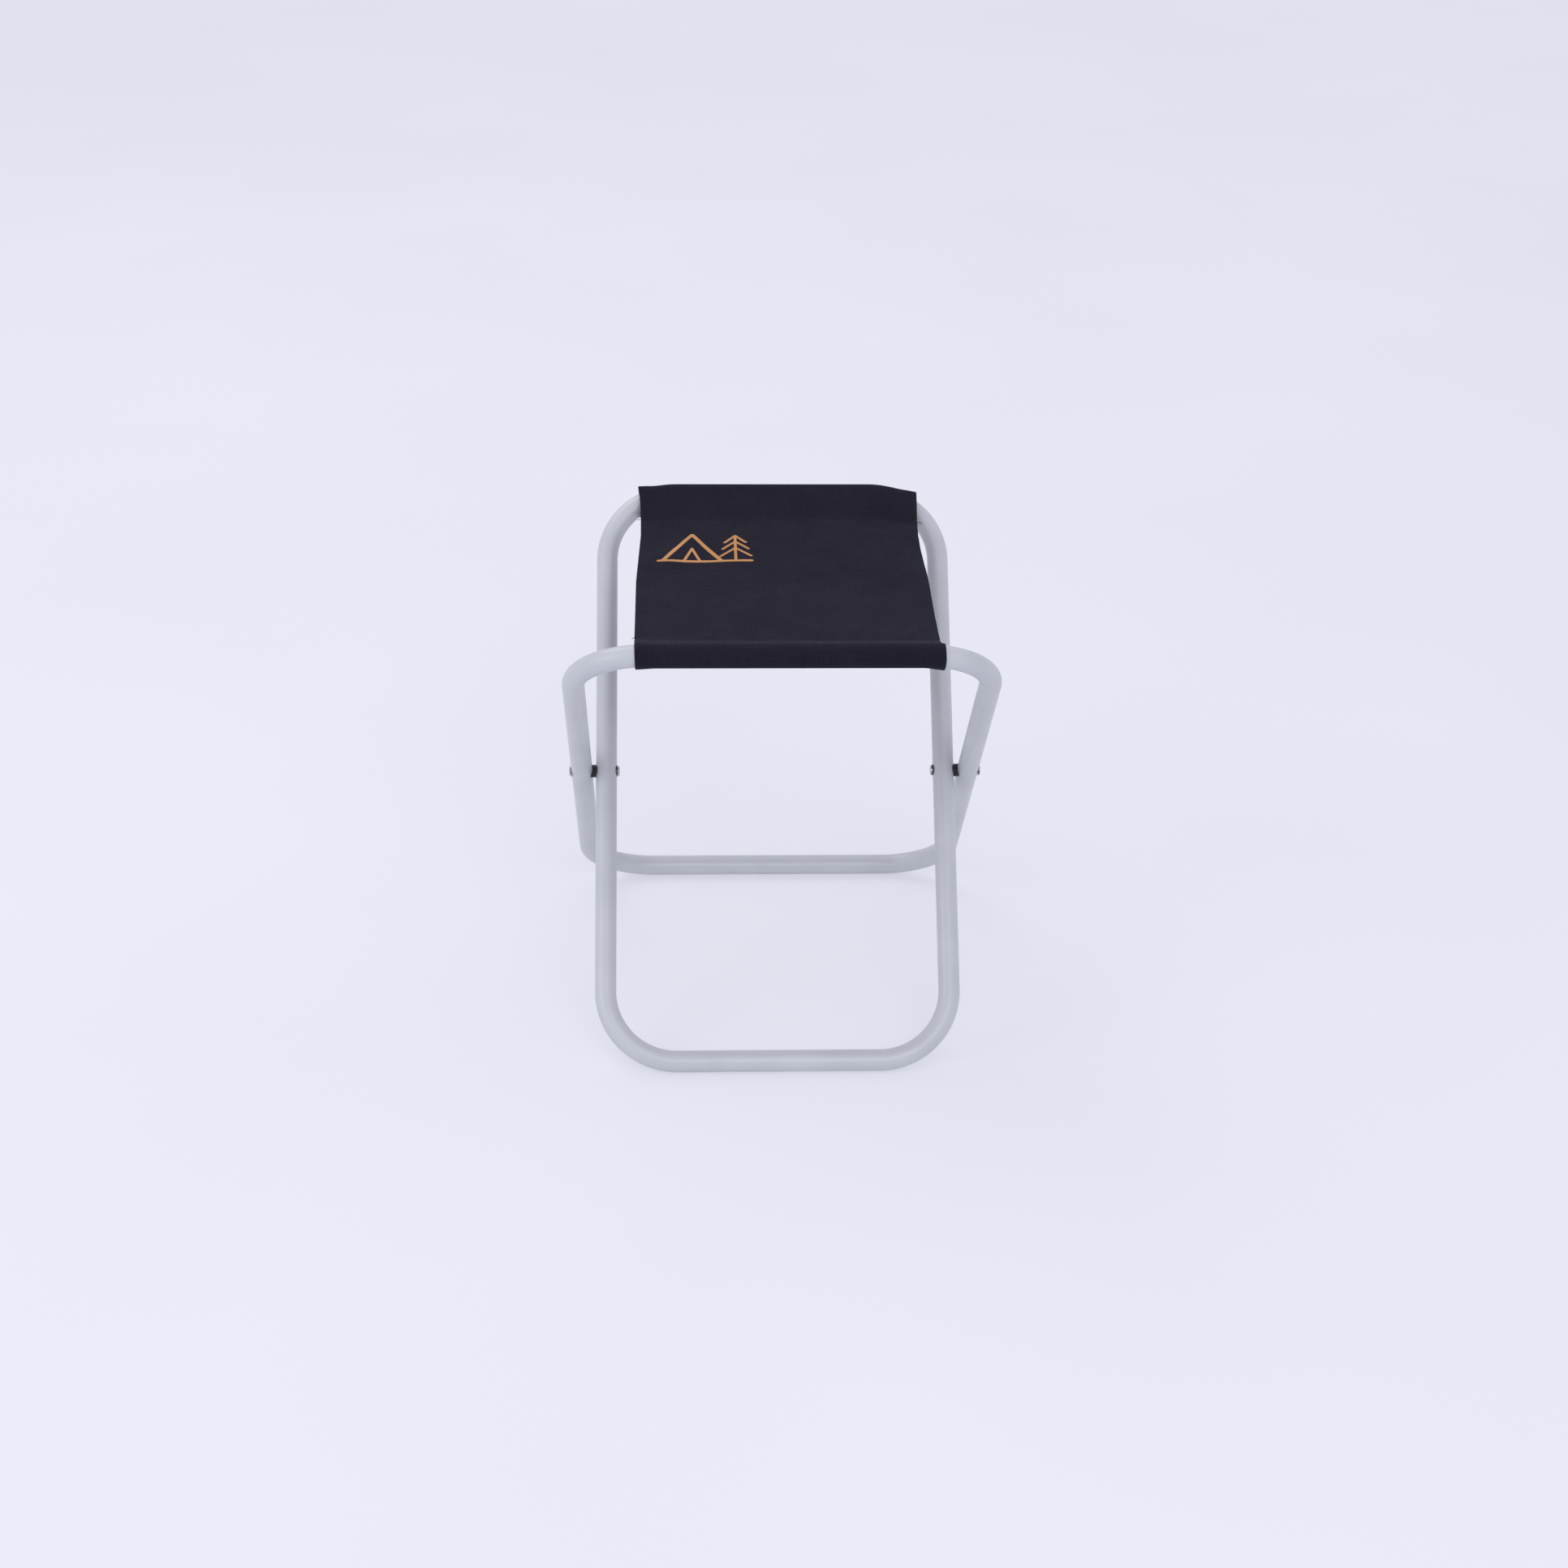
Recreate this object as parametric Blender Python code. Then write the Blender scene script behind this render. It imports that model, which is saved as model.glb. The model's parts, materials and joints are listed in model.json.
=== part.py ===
"""Folding camp stool: two crossed loops of bent steel tube with a cloth seat slung between them.

Metres, +Z up. The origin is on the floor, under the middle of the stool. +Y is the rear and
+X the right. The outer loop carries the seat's front edge, and the inner loop its rear edge.
Both loops turn on one rivet at each side. The seat is made in a front and a rear half, which
meet at the middle, because each half swings about its own top bar when the stool folds.
"""

from math import asin, cos, pi, radians, sin, sqrt

import bmesh
import bpy
from mathutils import Vector

# Tube loops
TUBE_RADIUS = 0.009
TUBE_WALL = 0.001
TUBE_SIDES = 16
BEND_RADIUS = 0.060
BEND_STEPS = 8
INNER_HALF_WIDTH = 0.145
OUTER_HALF_WIDTH = 0.166
BAR_OFFSET = 0.168
TOP_BAR_HEIGHT = 0.383
BOTTOM_BAR_HEIGHT = TUBE_RADIUS
END_GAP = 0.0006

# Joiner inside each top bar, where the ends of the loop meet
JOINER_RADIUS = 0.0077
JOINER_WALL = 0.0012
JOINER_HALF_LENGTH = 0.030

# Pivots
PIVOT_HEIGHT = (TOP_BAR_HEIGHT + BOTTOM_BAR_HEIGHT) / 2
ROUND_SIDES = 20
CLEARANCE = 0.0003
SHANK_RADIUS = 0.0025
DRILL_RADIUS = 0.00275
HEAD_RADIUS = 0.0044
INNER_HEAD_HEIGHT = 0.0015
OUTER_HEAD_HEIGHT = 0.0009
HEAD_STEPS = 4
WASHER_RADIUS = 0.0048
WASHER_THICKNESS = 0.0005
SADDLE_RADIUS = 0.0055
SADDLE_DEPTH = 0.00315
SADDLE_SEAT_RADIUS = TUBE_RADIUS + CLEARANCE

# Cloth seat
CLOTH_LEFT = -0.1170
CLOTH_RIGHT = 0.1245
REAR_SLEEVE_RIGHT = 0.1274
SLEEVE_WALL = 0.0010
SLEEVE_RADIUS = TUBE_RADIUS + 0.00065
SLEEVE_ARC_STEPS = 16
SLEEVE_BEND_STEPS = 4
SLEEVE_TOP_HOLD = 0.35
SEAM_DISTANCE = 0.0405
SEAM_HEIGHT = 0.377
SEAM_OUTER_RADIUS = 0.0010
SEAM_INNER_RADIUS = 0.0004
PANEL_THICKNESS = 0.002
HEM_THICKNESS = 0.003
HEM_WIDTH = 0.008

BAR_SPAN = Vector((0, 2 * BAR_OFFSET, TOP_BAR_HEIGHT - BOTTOM_BAR_HEIGHT))
LEG_LENGTH = BAR_SPAN.length
INNER_LEG = BAR_SPAN.normalized()
OUTER_LEG = Vector((0, -INNER_LEG.y, INNER_LEG.z))
PIVOT = Vector((0, 0, PIVOT_HEIGHT))
FRONT_BAR = Vector((0, -BAR_OFFSET, TOP_BAR_HEIGHT))
REAR_BAR = Vector((0, BAR_OFFSET, TOP_BAR_HEIGHT))
FLOOR_ORIGIN = Vector((0, 0, 0))
MID_GAP_X = (INNER_HALF_WIDTH + OUTER_HALF_WIDTH) / 2
SIDES = {"left": -1, "right": 1}


def clear_scene():
    for existing in list(bpy.data.objects):
        bpy.data.objects.remove(existing, do_unlink=True)


def make_material(name, colour, roughness, metallic):
    material = bpy.data.materials.new(name)
    material.use_nodes = True
    shader = material.node_tree.nodes["Principled BSDF"]
    shader.inputs["Base Color"].default_value = (*colour, 1.0)
    shader.inputs["Roughness"].default_value = roughness
    shader.inputs["Metallic"].default_value = metallic
    material.diffuse_color = (*colour, 1.0)
    return material


def add_object(name, bm, material, origin=FLOOR_ORIGIN):
    """Make an object from a mesh in world coordinates, with its own origin on its joint's axis."""
    bmesh.ops.recalc_face_normals(bm, faces=bm.faces)
    bmesh.ops.translate(bm, verts=bm.verts, vec=-origin)
    mesh = bpy.data.meshes.new(name)
    bm.to_mesh(mesh)
    bm.free()
    mesh.materials.append(material)
    mesh.shade_smooth()
    mesh.set_sharp_from_angle(angle=radians(35))
    obj = bpy.data.objects.new(name, mesh)
    obj.location = origin
    bpy.context.collection.objects.link(obj)
    return obj


def add_cutter(name, bm):
    cutter = add_object(name, bm, bpy.data.materials["steel"])
    cutter.hide_render = True
    cutter.display_type = "WIRE"
    return cutter


def cut(obj, cutter):
    modifier = obj.modifiers.new("cut_" + cutter.name, "BOOLEAN")
    modifier.operation = "DIFFERENCE"
    modifier.solver = "EXACT"
    modifier.object = cutter


def bridge(bm, ring, next_ring):
    """Join two rings of vertices of equal length with a band of faces."""
    count = len(ring)
    for index in range(count):
        following = (index + 1) % count
        bm.faces.new((ring[index], ring[following], next_ring[following], next_ring[index]))


def add_skin(bm, rings):
    """Make the vertices of a row of rings, with a band of faces between neighbours."""
    skin = [[bm.verts.new(point) for point in ring] for ring in rings]
    for ring, next_ring in zip(skin, skin[1:]):
        bridge(bm, ring, next_ring)
    return skin


def hollow_loft(outer_rings, inner_rings):
    """Loft a wall between an outer and an inner row of rings, open at both ends."""
    bm = bmesh.new()
    outer = add_skin(bm, outer_rings)
    inner = add_skin(bm, inner_rings)
    bridge(bm, outer[0], inner[0])
    bridge(bm, outer[-1], inner[-1])
    return bm


def turned_ring(profile, centre, sides=ROUND_SIDES):
    """Turn a closed outline of (x, radius) points about the X axis through the centre."""
    bm = bmesh.new()
    rings = [x_circle(centre, x, radius, sides) for x, radius in profile]
    skin = add_skin(bm, rings)
    bridge(bm, skin[-1], skin[0])
    return bm


def turned_solid(profile, centre, sides=ROUND_SIDES):
    """Turn an outline of (x, radius) points whose two ends are on the axis."""
    bm = bmesh.new()
    skin = add_skin(bm, [x_circle(centre, x, radius, sides) for x, radius in profile[1:-1]])
    for pole_x, ring in ((profile[0][0], skin[0]), (profile[-1][0], skin[-1])):
        pole = bm.verts.new(centre + Vector((pole_x, 0, 0)))
        for index in range(sides):
            bm.faces.new((pole, ring[index], ring[(index + 1) % sides]))
    return bm


def x_circle(centre, x, radius, sides):
    points = []
    for index in range(sides):
        angle = 2 * pi * index / sides
        points.append(centre + Vector((x, radius * cos(angle), radius * sin(angle))))
    return points


def box(low, high):
    bm = bmesh.new()
    bmesh.ops.create_cube(bm, size=1.0)
    size = Vector(high) - Vector(low)
    middle = (Vector(high) + Vector(low)) / 2
    for vertex in bm.verts:
        vertex.co = middle + Vector(size[axis] * vertex.co[axis] for axis in range(3))
    return bm


def loop_stations(half_width):
    """Walk once round a loop from its joint: centre as (across, along the leg) and outward angle."""
    corner_x = half_width - BEND_RADIUS
    corner_along = LEG_LENGTH - BEND_RADIUS
    corners = (
        (corner_x, corner_along, pi / 2),
        (corner_x, BEND_RADIUS, 0),
        (-corner_x, BEND_RADIUS, -pi / 2),
        (-corner_x, corner_along, -pi),
    )
    stations = [(END_GAP / 2, LEG_LENGTH, pi / 2)]
    for across, along, first_angle in corners:
        for step in range(BEND_STEPS + 1):
            angle = first_angle - pi / 2 * step / BEND_STEPS
            stations.append((across + BEND_RADIUS * cos(angle), along + BEND_RADIUS * sin(angle), angle))
    stations.append((-END_GAP / 2, LEG_LENGTH, -3 * pi / 2))
    return stations


def loop_rings(half_width, foot, leg, flat_radius):
    """Rings round the tube, turned so that one flat of the tube lies on the floor."""
    plane_normal = Vector((1, 0, 0)).cross(leg)
    floor_turn = -asin(leg.y)
    corner_radius = flat_radius / cos(pi / TUBE_SIDES)
    rings = []
    for across, along, outward_angle in loop_stations(half_width):
        centre = foot + Vector((across, 0, 0)) + leg * along
        outward = Vector((cos(outward_angle), 0, 0)) + leg * sin(outward_angle)
        ring = []
        for side in range(TUBE_SIDES):
            angle = floor_turn + 2 * pi * (side + 0.5) / TUBE_SIDES
            ring.append(centre + corner_radius * (outward * cos(angle) + plane_normal * sin(angle)))
        rings.append(ring)
    return rings


def frame_tube(name, half_width, foot, leg, origin, drills):
    outer = loop_rings(half_width, foot, leg, TUBE_RADIUS)
    inner = loop_rings(half_width, foot, leg, TUBE_RADIUS - TUBE_WALL)
    tube = add_object(name, hollow_loft(outer, inner), bpy.data.materials["powder_coat"], origin)
    for drill in drills:
        cut(tube, drill)


def joiner(name, bar, origin):
    """Short tube inside the top bar that holds the two ends of the loop together."""
    outer = []
    inner = []
    for x in (-JOINER_HALF_LENGTH, JOINER_HALF_LENGTH):
        outer.append(x_circle(bar, x, JOINER_RADIUS, TUBE_SIDES))
        inner.append(x_circle(bar, x, JOINER_RADIUS - JOINER_WALL, TUBE_SIDES))
    add_object(name, hollow_loft(outer, inner), bpy.data.materials["steel"], origin)


def leg_rod(centre_x, leg):
    """Rod of a saddle washer's seat radius, lying along a leg through the pivot."""
    bm = bmesh.new()
    across = Vector((1, 0, 0))
    normal = across.cross(leg)
    sides = 2 * ROUND_SIDES
    rings = []
    for end in (-SADDLE_RADIUS * 2, SADDLE_RADIUS * 2):
        centre = PIVOT + across * centre_x + leg * end
        ring = []
        for side in range(sides):
            angle = 2 * pi * side / sides
            ring.append(centre + SADDLE_SEAT_RADIUS * (across * cos(angle) + normal * sin(angle)))
        rings.append(ring)
    skin = add_skin(bm, rings)
    bm.faces.new(skin[0])
    bm.faces.new(skin[1])
    return bm


def rivet(name, sign):
    """One rivet through both tubes: a domed head inside and a flatter set end outside."""
    washer_stack = CLEARANCE + WASHER_THICKNESS + CLEARANCE
    inner_face = INNER_HALF_WIDTH - TUBE_RADIUS - washer_stack
    outer_face = OUTER_HALF_WIDTH + TUBE_RADIUS + washer_stack
    inner_dome = []
    outer_dome = []
    for step in range(HEAD_STEPS + 1):
        angle = pi / 2 * step / HEAD_STEPS
        radius = HEAD_RADIUS * sin(angle)
        inner_dome.append((sign * (inner_face - INNER_HEAD_HEIGHT * cos(angle)), radius))
        outer_dome.insert(0, (sign * (outer_face + OUTER_HEAD_HEIGHT * cos(angle)), radius))
    shank = [(sign * inner_face, SHANK_RADIUS), (sign * outer_face, SHANK_RADIUS)]
    profile = inner_dome + shank + outer_dome
    add_object(name, turned_solid(profile, PIVOT), bpy.data.materials["steel"], PIVOT)


def flat_washer(name, near_x, far_x):
    profile = [
        (near_x, DRILL_RADIUS),
        (near_x, WASHER_RADIUS),
        (far_x, WASHER_RADIUS),
        (far_x, DRILL_RADIUS),
    ]
    add_object(name, turned_ring(profile, PIVOT), bpy.data.materials["dark_steel"], PIVOT)


def saddle_washer(name, flat_x, back_x, centre_x, leg):
    """Plastic spacer, flat towards its twin and hollowed to sit round its own tube."""
    profile = [
        (flat_x, DRILL_RADIUS),
        (flat_x, SADDLE_RADIUS),
        (back_x, SADDLE_RADIUS),
        (back_x, DRILL_RADIUS),
    ]
    washer = add_object(name, turned_ring(profile, PIVOT), bpy.data.materials["black_plastic"], PIVOT)
    cut(washer, add_cutter(name + "_seat", leg_rod(centre_x, leg)))


def pivot_parts(side, sign):
    rivet(side + "_pivot_rivet", sign)
    outer_x = OUTER_HALF_WIDTH + TUBE_RADIUS + CLEARANCE
    inner_x = INNER_HALF_WIDTH - TUBE_RADIUS - CLEARANCE
    flat_washer(side + "_outer_rivet_washer", sign * outer_x, sign * (outer_x + WASHER_THICKNESS))
    flat_washer(side + "_inner_rivet_washer", sign * inner_x, sign * (inner_x - WASHER_THICKNESS))
    outer_flat = MID_GAP_X + CLEARANCE / 2
    inner_flat = MID_GAP_X - CLEARANCE / 2
    saddle_washer(
        side + "_outer_saddle_washer",
        sign * outer_flat,
        sign * (outer_flat + SADDLE_DEPTH),
        sign * OUTER_HALF_WIDTH,
        OUTER_LEG,
    )
    saddle_washer(
        side + "_inner_saddle_washer",
        sign * inner_flat,
        sign * (inner_flat - SADDLE_DEPTH),
        sign * INNER_HALF_WIDTH,
        INNER_LEG,
    )


def sleeve_stations(left, right, straight_half):
    """Places along the bar: both ends, steps round each bend, and the straight between them."""
    stations = []
    for step in range(SLEEVE_BEND_STEPS + 1):
        stations.append(left + (-straight_half - left) * step / SLEEVE_BEND_STEPS)
    for step in range(SLEEVE_BEND_STEPS + 1):
        stations.append(straight_half + (right - straight_half) * step / SLEEVE_BEND_STEPS)
    return stations


def sleeve_outline(x, bar, leg, seam, straight_half, radius, seam_radius):
    """Loose pocket round the tube where it passes x: a rounded hull of the tube and the seam."""
    past = max(0.0, abs(x) - straight_half)
    outside = BEND_RADIUS + radius
    inside = BEND_RADIUS - radius
    outside_drop = outside - sqrt(outside**2 - past**2)
    inside_drop = inside - sqrt(inside**2 - past**2)
    circles = [
        (bar - leg * (outside_drop * SLEEVE_TOP_HOLD), radius),
        (bar - leg * outside_drop, radius),
        (bar - leg * inside_drop, radius),
        (seam, seam_radius),
    ]
    towards_seam = (seam - bar).normalized()
    across = Vector((1, 0, 0)).cross(towards_seam)
    angles = [radians(turn) for turn in (-72, -58, 0, 58, 72)]
    for step in range(SLEEVE_ARC_STEPS + 1):
        angles.append(radians(85 + 190 * step / SLEEVE_ARC_STEPS))
    outline = []
    for angle in angles:
        direction = towards_seam * cos(angle) + across * sin(angle)
        centre, reach = max(circles, key=lambda circle: circle[0].dot(direction) + circle[1])
        outline.append(Vector((x, 0, 0)) + centre + direction * reach)
    return outline


def sleeve(name, bar, leg, half_width, right, origin):
    """Cloth pocket that wraps a top bar and is sewn shut at the seam."""
    towards_middle = -1 if bar.y > 0 else 1
    seam_y = bar.y + towards_middle * (SEAM_DISTANCE - SEAM_OUTER_RADIUS)
    seam = Vector((0, seam_y, SEAM_HEIGHT))
    straight_half = half_width - BEND_RADIUS
    outer = []
    inner = []
    for x in sleeve_stations(CLOTH_LEFT, right, straight_half):
        outer.append(sleeve_outline(
            x, bar, leg, seam, straight_half, SLEEVE_RADIUS + SLEEVE_WALL, SEAM_OUTER_RADIUS))
        inner.append(sleeve_outline(
            x, bar, leg, seam, straight_half, SLEEVE_RADIUS, SEAM_INNER_RADIUS))
    add_object(name, hollow_loft(outer, inner), bpy.data.materials["seat_cloth"], origin)


def seat_half(name, sign, origin):
    """Half of the seat panel, with a folded hem along each side."""
    middle_y = sign * CLEARANCE / 2
    seam_y = sign * (BAR_OFFSET - SEAM_DISTANCE - CLEARANCE)
    near_y = min(middle_y, seam_y)
    far_y = max(middle_y, seam_y)
    strips = (
        (name + "_panel", CLOTH_LEFT + HEM_WIDTH + CLEARANCE, CLOTH_RIGHT - HEM_WIDTH - CLEARANCE,
         PANEL_THICKNESS, "seat_cloth"),
        (name + "_left_hem", CLOTH_LEFT, CLOTH_LEFT + HEM_WIDTH, HEM_THICKNESS, "hem_cloth"),
        (name + "_right_hem", CLOTH_RIGHT - HEM_WIDTH, CLOTH_RIGHT, HEM_THICKNESS, "hem_cloth"),
    )
    for strip_name, left, right, thickness, slot in strips:
        low = (left, near_y, SEAM_HEIGHT - thickness / 2)
        high = (right, far_y, SEAM_HEIGHT + thickness / 2)
        add_object(strip_name, box(low, high), bpy.data.materials[slot], origin)


def drill_cutter(name, sign):
    near_x = sign * (INNER_HALF_WIDTH - 2 * TUBE_RADIUS)
    far_x = sign * (OUTER_HALF_WIDTH + 2 * TUBE_RADIUS)
    profile = [(near_x, 0), (near_x, DRILL_RADIUS), (far_x, DRILL_RADIUS), (far_x, 0)]
    return add_cutter(name, turned_solid(profile, PIVOT))


def build():
    clear_scene()
    make_material("powder_coat", (0.53, 0.55, 0.61), 0.42, 0.1)
    make_material("steel", (0.62, 0.61, 0.60), 0.28, 1.0)
    make_material("dark_steel", (0.10, 0.10, 0.11), 0.45, 0.8)
    make_material("black_plastic", (0.015, 0.015, 0.018), 0.5, 0.0)
    make_material("seat_cloth", (0.022, 0.020, 0.031), 0.85, 0.0)
    make_material("hem_cloth", (0.026, 0.024, 0.036), 0.85, 0.0)

    drills = [drill_cutter(side + "_drill", sign) for side, sign in SIDES.items()]
    outer_foot = Vector((0, BAR_OFFSET, BOTTOM_BAR_HEIGHT))
    inner_foot = Vector((0, -BAR_OFFSET, BOTTOM_BAR_HEIGHT))
    frame_tube("outer_frame_tube", OUTER_HALF_WIDTH, outer_foot, OUTER_LEG, FLOOR_ORIGIN, drills)
    frame_tube("inner_frame_tube", INNER_HALF_WIDTH, inner_foot, INNER_LEG, PIVOT, drills)
    joiner("outer_frame_joiner", FRONT_BAR, FLOOR_ORIGIN)
    joiner("inner_frame_joiner", REAR_BAR, PIVOT)
    for side, sign in SIDES.items():
        pivot_parts(side, sign)
    sleeve("front_sleeve", FRONT_BAR, OUTER_LEG, OUTER_HALF_WIDTH, CLOTH_RIGHT, FLOOR_ORIGIN)
    sleeve("rear_sleeve", REAR_BAR, INNER_LEG, INNER_HALF_WIDTH, REAR_SLEEVE_RIGHT, PIVOT)
    seat_half("seat_front", -1, FRONT_BAR)
    seat_half("seat_rear", 1, REAR_BAR)


build()
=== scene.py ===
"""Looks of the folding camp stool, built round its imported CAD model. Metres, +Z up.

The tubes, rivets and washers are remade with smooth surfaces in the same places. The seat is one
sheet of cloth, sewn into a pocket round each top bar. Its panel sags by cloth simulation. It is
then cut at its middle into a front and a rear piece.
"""

import json
from math import atan2, cos, pi, radians, sin

import bmesh
import bpy
import numpy as np
from mathutils import Matrix, Vector


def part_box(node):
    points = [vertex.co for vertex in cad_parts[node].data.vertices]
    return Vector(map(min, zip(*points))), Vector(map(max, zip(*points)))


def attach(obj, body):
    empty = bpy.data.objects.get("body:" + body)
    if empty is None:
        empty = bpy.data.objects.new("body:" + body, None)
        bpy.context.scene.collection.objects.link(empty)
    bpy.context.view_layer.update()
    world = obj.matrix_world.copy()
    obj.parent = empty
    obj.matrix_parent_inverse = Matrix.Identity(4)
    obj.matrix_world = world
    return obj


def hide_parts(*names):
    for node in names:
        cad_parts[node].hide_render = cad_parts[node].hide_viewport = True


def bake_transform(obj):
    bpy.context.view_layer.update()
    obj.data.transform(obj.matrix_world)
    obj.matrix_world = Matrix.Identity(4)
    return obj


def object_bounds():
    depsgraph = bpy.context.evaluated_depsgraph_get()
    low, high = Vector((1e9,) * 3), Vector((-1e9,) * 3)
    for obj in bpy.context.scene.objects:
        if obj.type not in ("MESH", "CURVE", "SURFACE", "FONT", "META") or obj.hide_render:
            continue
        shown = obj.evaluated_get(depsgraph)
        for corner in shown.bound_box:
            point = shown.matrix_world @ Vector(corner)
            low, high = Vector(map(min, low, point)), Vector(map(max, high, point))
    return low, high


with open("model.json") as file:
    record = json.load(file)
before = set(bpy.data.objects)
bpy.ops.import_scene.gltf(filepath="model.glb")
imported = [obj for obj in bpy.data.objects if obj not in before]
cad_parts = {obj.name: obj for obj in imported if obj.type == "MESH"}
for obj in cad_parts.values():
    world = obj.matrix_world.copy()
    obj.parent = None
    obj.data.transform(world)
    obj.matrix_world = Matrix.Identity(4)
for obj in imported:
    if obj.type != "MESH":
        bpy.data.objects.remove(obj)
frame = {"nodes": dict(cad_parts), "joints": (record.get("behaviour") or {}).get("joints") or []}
cad_low, cad_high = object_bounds()

# ---------------------------------------------------------------- sizes read from the frame

JOINTS = {joint["name"]: joint for joint in frame["joints"]}
PIVOT = np.array(JOINTS["fold"]["pos_m"], float)
FRONT_BAR = np.array(JOINTS["seat_front_hang"]["pos_m"], float)
REAR_BAR = np.array(JOINTS["seat_rear_hang"]["pos_m"], float)
INNER_FOOT = 2 * PIVOT - REAR_BAR
OUTER_FOOT = 2 * PIVOT - FRONT_BAR
TUBE_RADIUS = INNER_FOOT[2]
BAR_OFFSET = REAR_BAR[1]
LEG_LENGTH = float(np.linalg.norm(REAR_BAR - INNER_FOOT))
OUTER_HALF_WIDTH = round(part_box("outer_frame_tube")[1].x - TUBE_RADIUS, 3)
INNER_HALF_WIDTH = round(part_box("inner_frame_tube")[1].x - TUBE_RADIUS, 3)
SEAM_HEIGHT = (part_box("seat_rear_panel")[0].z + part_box("seat_rear_panel")[1].z) / 2
SEAM_DISTANCE = BAR_OFFSET - round(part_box("seat_rear_panel")[1].y, 4)
PANEL_HALF = BAR_OFFSET - SEAM_DISTANCE

# ---------------------------------------------------------------- sizes of the fine surfaces

BEND_RADIUS = 0.060
BEND_STEPS = 28
TUBE_WALL = 0.001
TUBE_SIDES = 40
END_GAP = 0.0006

ROUND_SIDES = 48
CORNER_STEPS = 3
DOME_STEPS = 12
INNER_HEAD_HEIGHT = 0.0015
OUTER_HEAD_HEIGHT = 0.0009
HEAD_RIM_HEIGHT = 0.0002
SHANK_RADIUS = 0.0025
WASHER_BORE = 0.0027
CURVED_WASHER_GAP = 0.0008
CURVED_WASHER_CORNER = 0.00015
SADDLE_GAP = 0.0002
SADDLE_CORNER = 0.0004
SADDLE_FACE_GAP = 0.00002

CLOTH_HALF_THICKNESS = 0.0003
POCKET_SLACK = 0.00036
LAYER_SPACING = 0.0011
SEAM_ROW_GAP = 0.0045
FLAP_LENGTH = 0.007
HEM_WIDTH = 0.0085
HEM_EXTRA = 0.0004
HEM_OUTER_EXTRA = 0.00012
HEM_EDGE = 0.0008
HEM_GROOVE_DEPTH = 0.00018
HEM_GROOVE_WIDTH = 0.0008
SEAM_GROOVE_DEPTH = 0.00022
SEAM_GROOVE_WIDTH = 0.0011
HEM_STITCH = 0.0068
STITCH_PITCH = 0.0034
STITCH_LENGTH = 0.0026
SEAM_END_MARGIN = 0.002
HEM_END_MARGIN = 0.0025
THREAD_RADIUS = 0.00020
THREAD_SIDES = 6
PANEL_SAG = 0.0022

# The mesh of the cloth: its cells, and how its line across a bar is walked and rounded off.
CELL = 0.0019
HEM_CELLS = 10
POCKET_COUNT = 78
SEAM_ROW_COUNT = 4
FLAP_COUNT = 8
PANEL_STEPS = 40
HULL_STEPS = 240
POCKET_FIRST_ANGLE = radians(85)
POCKET_LAST_ANGLE = radians(275)
ROUNDING_PASSES = 3
ROUNDING_FIXED = 4

# The outline of the cloth, which is cut a little unevenly.
CLOTH_WIDTH = 0.2425
POCKET_STATION = 0.175
SIDE_STATIONS = np.array((
    # along the cloth from its middle, left side, right side
    (-0.250, -0.1130, 0.1212),
    (-0.205, -0.1150, 0.1234),
    (-0.185, -0.1155, 0.1248),
    (-0.169, -0.1160, 0.1244),
    (-0.164, -0.1160, 0.1220),
    (-0.123, -0.1166, 0.1241),
    (-0.085, -0.1167, 0.1245),
    (0.000, -0.1171, 0.1254),
    (0.057, -0.1159, 0.1254),
    (0.100, -0.1146, 0.1244),
    (0.1275, -0.1149, 0.1254),
    (0.150, -0.1154, 0.1263),
    (0.175, -0.1178, 0.1271),
    (0.210, -0.1150, 0.1257),
    (0.250, -0.1125, 0.1228),
))

# How the slack cloth twists at the ends of its seams, how far its pockets sink into the bars'
# bends, and how its layers lie at the seams.
TWIST_LEFT = 0.117
TWIST_RIGHT = (0.084, 0.127)
REAR_LEFT_DROP = 0.0023
REAR_RIGHT_DROP = 0.0045
FRONT_LEFT_RISE = 0.0019
LEFT_REACH = 0.0027
RIGHT_REACH = 0.0105
INNER_ROW_RISE = 0.0011
FLAP_GAP = 0.0001
FLAP_DROP = 0.0010

# The cloth's relief: heights, and the distances over which they come and go.
WRINKLE_SEED = 11
WRINKLE_WAVES = 26
WRINKLE_LENGTHS = (0.022, 0.120)
WRINKLE_HEIGHT = 0.0006
PANEL_FADE = (PANEL_HALF - 0.020, PANEL_HALF - 0.002)
BAR_FADE_IN = (PANEL_HALF + 0.026, PANEL_HALF + 0.042)
BAR_FADE_OUT = (PANEL_HALF + 0.075, PANEL_HALF + 0.090)
CREASE_PLACE = (0.110, 0.143)
CREASE_HEADING = (0.81, 0.59)
CREASE_HEIGHT = 0.0022
CREASE_WIDTH = 0.0042
CREASE_LENGTH = 0.016
SEAM_PINCH = 0.010
PUCKER_HEIGHT = 0.00022
PUCKER_PITCH = 0.0104
PUCKER_PLACE = 0.004
PUCKER_WIDTH = 0.006

# The cloth simulation of the panel.
SAG_FRAMES = 40
SAG_LIMIT = 0.006
SAG_SETTINGS = {
    "vertex_group_mass": "seams",
    "mass": 0.00004,
    "quality": 8,
    "tension_stiffness": 60,
    "compression_stiffness": 60,
    "shear_stiffness": 25,
    "bending_stiffness": 0.4,
    "air_damping": 4,
    "shrink_min": -0.0012,
}

# One stitch, ring by ring: share of its length, thickness and lift, in thread radii.
STITCH_RINGS = ((-0.5, 0.25, -1.2), (-0.36, 0.85, -0.2), (-0.12, 1.0, 0.2),
                (0.12, 1.0, 0.2), (0.36, 0.85, -0.2), (0.5, 0.25, -1.2))

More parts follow.
